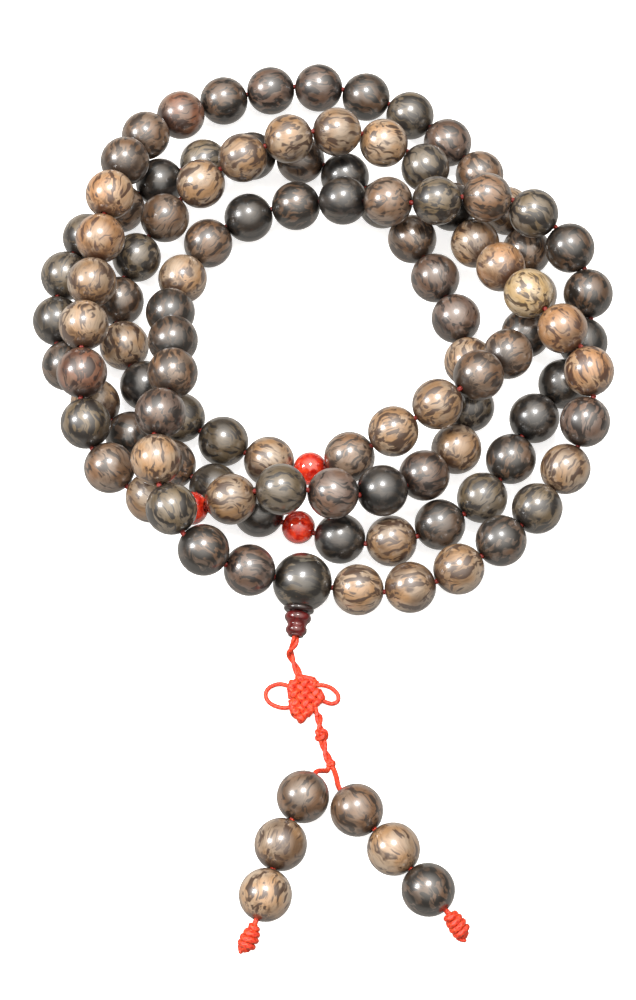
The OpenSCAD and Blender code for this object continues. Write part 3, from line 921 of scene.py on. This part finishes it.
def weave(along, across, layer):
    """One run of cord that goes to and fro over the knot, over and under the other run."""
    outline = [Vector(p) for p in KNOT_OUTLINE]
    points, forward = [], True
    for k in range(-MOST_PASSES, MOST_PASSES + 1):
        offset = (k + 0.5) * KNOT_PITCH
        found = chord(outline, across * offset, along)
        if not found or found[1] - found[0] < SHORTEST_PASS:
            continue
        low, high = found[0] + KNOT_CORD_R, found[1] - KNOT_CORD_R
        run = []
        for i in range(WEAVE_STEPS + 1):
            u = low + (high - low) * i / WEAVE_STEPS
            z = layer * WEAVE_HEIGHT * math.sin(math.pi * (u / KNOT_PITCH + k))
            edge = min(u - low, high - u)
            z *= min(1.0, EDGE_SHARE + edge / EDGE_REACH)
            p = along * u + across * offset
            run.append(Vector((p.x, p.y, z)))
        points += run if forward else run[::-1]
        forward = not forward
    return points


def knot_runs():
    """The two runs of cord that cross in the endless knot, each with its radius."""
    tilt = math.radians(KNOT_TILT)
    along = Vector((math.cos(tilt), math.sin(tilt)))
    across = Vector((-along.y, along.x))
    middle = placed(KNOT_MID)
    for one, other, layer in ((along, across, 1), (across, along, -1)):
        run = [middle + p * MM for p in weave(one, other, layer)]
        yield catmull(run, 2), KNOT_CORD_R * MM


knot_mesh = tube_mesh("endless_knot_weave", *knot_runs(), sides=10)
add_object("endless_knot_weave", knot_mesh, CORD, "red_cord", "pendant", "endless_knot")

EAR_CORD_R = 0.43
EARS = {
    "left": [(-4.3, -40.4, 1.1), (-5.5, -39.4, 0.9), (-7.4, -38.8, 0.6), (-9.3, -39.5, 0.5),
             (-10.0, -41.0, 0.5), (-9.2, -42.6, 0.5), (-7.3, -43.5, 0.5), (-5.6, -43.6, 0.7),
             (-4.0, -43.2, 1.0)],
    "right": [(-0.6, -39.3, 1.1), (0.9, -39.2, 1.0), (2.6, -39.7, 0.7), (3.8, -41.0, 0.5),
              (3.7, -42.3, 0.5), (2.6, -42.8, 0.6), (1.3, -42.5, 0.9), (0.3, -42.0, 1.1)],
}
for side, route in EARS.items():
    loop = catmull([placed(p) for p in route], 6)
    mesh = tube_mesh(f"ear_{side}_loop", (loop, EAR_CORD_R * MM), sides=10)
    add_object(f"ear_{side}_loop", mesh, CORD, "red_cord", "pendant", f"ear_loop_{side}")

# ---------------------------------------------------------------- below the knot
knot_exit = [placed((-1.3, -43.0, 1.1)), placed((-0.6, -44.2, 1.05)), lift_pivot]
doubled("knot_exit_strands", knot_exit, "pendant", "endless_knot", phase=1.0)
doubled("lower_strands", [lift_pivot, *[placed(p) for p in LOWER_ROUTE]],
        "lower_pendant", "lower_cord", phase=1.2)
doubled("split_strands", [placed((0.65, -49.6, 1.3)), *[placed(p) for p in SPLIT_ROUTE]],
        "lower_pendant", "split_cord", phase=0.2)


BALL_STEPS = 120
# Shares of a round knot's radius: its winding's middle and sway, its height and its filling
BALL_RING, BALL_SWAY, BALL_RISE, BALL_FILL = 0.66, 0.34, 0.8, 0.85


def ball_knot(name, at, r, cord_r, node, lobes=3):
    """A round knot: a cord that winds over a ball and crosses itself, with a filled middle."""
    points = []
    for k in range(BALL_STEPS):
        t = 2 * math.pi * k / BALL_STEPS
        ring = (r - cord_r) * (BALL_RING + BALL_SWAY * math.cos(lobes * t))
        points.append(at + Vector((ring * math.cos(2 * t), ring * math.sin(2 * t),
                                   (r - cord_r) * BALL_RISE * math.sin(lobes * t))))
    bm = bmesh.new()
    lay_tube(bm, points, cord_r, 10, closed=True)
    bmesh.ops.create_icosphere(bm, subdivisions=3, radius=(r - cord_r) * BALL_FILL,
                               matrix=Matrix.Translation(at))
    add_object(name, finish_mesh(bm, name), CORD, "red_cord", "lower_pendant", node)


ball_knot("button_ball", box_middle("button_knot"), r=1.45 * MM, cord_r=0.42 * MM,
          node="button_knot")
split_middle = box_middle("split_knot")
ball_knot("split_ball", split_middle, r=0.98 * MM, cord_r=0.36 * MM, node="split_knot", lobes=5)
for side in ("left", "right"):
    split = joint_at(f"{side}_tail_swing")[0]
    leg = catmull([split_middle, split_middle.lerp(split, 0.6), split], 4)
    name = f"{side}_split_leg"
    add_object(name, tube_mesh(name, (leg, CORD_D / 2 * MM)), CORD, "red_cord",
               "lower_pendant", "split_cord")


# ---------------------------------------------------------------- floor and light
PALE = (0.8, 0.8, 0.8, 1)
WHITE = (1, 1, 1, 1)
FLOOR_HALF, FLOOR_DEPTH = 3.0, 0.0001
FLOOR_GLOW, WALL_GLOW = 0.72, 1.0
WALL_R, WALL_HEIGHT, WALL_MIDDLE = 2.9, 3.0, 1.49


def floor():
    """A pale square just below the beads, bright enough to show white."""
    mesh = bpy.data.meshes.new("floor")
    half = FLOOR_HALF
    mesh.from_pydata([(-half, -half, 0), (half, -half, 0), (half, half, 0), (-half, half, 0)],
                     [], [(0, 1, 2, 3)])
    s = Shader("floor", Base_Color=PALE, Roughness=0.7, Emission_Color=WHITE,
               Emission_Strength=FLOOR_GLOW)
    mesh.materials.append(s.material)
    thing = bpy.data.objects.new("floor", mesh)
    thing.location = (0, 0, -FLOOR_DEPTH)
    thing.visible_glossy = thing.visible_diffuse = False
    bpy.context.scene.collection.objects.link(thing)
    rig.stage(thing)


def backdrop():
    """White walls round the floor that only the camera sees, so they light nothing."""
    bm = bmesh.new()
    bmesh.ops.create_cone(bm, segments=48, radius1=WALL_R, radius2=WALL_R, depth=WALL_HEIGHT,
                          matrix=Matrix.Translation((0, 0, WALL_MIDDLE)))
    mesh = finish_mesh(bm, "backdrop")
    s = Shader("backdrop", Base_Color=PALE, Emission_Color=WHITE, Emission_Strength=WALL_GLOW)
    mesh.materials.append(s.material)
    thing = bpy.data.objects.new("backdrop", mesh)
    thing.visible_diffuse = thing.visible_glossy = thing.visible_transmission = False
    thing.visible_volume_scatter = thing.visible_shadow = False
    bpy.context.scene.collection.objects.link(thing)
    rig.stage(thing)


LAMP_DISTANCE, LAMP_SIZE = 1.2, 0.22


def softbox(name, toward, power):
    """A square lamp that faces the object from a direction."""
    lamp = bpy.data.lights.new(name, "AREA")
    lamp.shape, lamp.size, lamp.energy = "SQUARE", LAMP_SIZE, power
    thing = bpy.data.objects.new(name, lamp)
    toward = Vector(toward).normalized()
    thing.location = target + toward * LAMP_DISTANCE
    thing.rotation_euler = toward.to_track_quat("Z", "Y").to_euler()
    bpy.context.scene.collection.objects.link(thing)


# The sky's grey at heights from straight down, 0, to straight up, 1. Its dark band stands for
# the dim room that darkens the beads' sides.
SKY = ((0.0, 0.12), (0.36, 0.26), (0.47, 0.05), (0.70, 0.045), (0.90, 0.64), (1.0, 0.92))
SKY_COLOUR, SKY_STRENGTH = (1.0, 0.94, 0.865, 1), 3.45


def sky():
    """A warm world whose strength changes with height."""
    world = bpy.data.worlds.new("world")
    world.use_nodes = True
    nodes, links = world.node_tree.nodes, world.node_tree.links
    toward = nodes.new("ShaderNodeSeparateXYZ")
    links.new(nodes.new("ShaderNodeTexCoord").outputs["Generated"], toward.inputs[0])
    fade = nodes.new("ShaderNodeValToRGB")
    stops = fade.color_ramp.elements
    for stop, (height, grey) in zip(stops, (SKY[0], SKY[-1])):
        stop.position, stop.color = height, (grey, grey, grey, 1)
    for height, grey in SKY[1:-1]:
        stops.new(height).color = (grey, grey, grey, 1)
    level = nodes.new("ShaderNodeMath")
    level.operation = "MULTIPLY_ADD"
    level.inputs[1].default_value = level.inputs[2].default_value = 0.5
    links.new(toward.outputs[2], level.inputs[0])
    links.new(level.outputs[0], fade.inputs[0])
    bright = nodes.new("ShaderNodeMath")
    bright.operation = "MULTIPLY"
    bright.inputs[1].default_value = SKY_STRENGTH
    links.new(fade.outputs[0], bright.inputs[0])
    links.new(bright.outputs[0], nodes["Background"].inputs[1])
    nodes["Background"].inputs[0].default_value = SKY_COLOUR
    bpy.context.scene.world = world


floor()
backdrop()
softbox("key_left", (-0.74, 0.0, 0.67), 13)
softbox("key_top", (0.02, 0.13, 0.99), 12)
sky()
bpy.context.scene.view_settings.view_transform = "Standard"

with open("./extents.json", "w") as f:
    json.dump({"cad": [list(p) for p in cad_box], "visual": [list(p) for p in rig.bounds()]}, f)
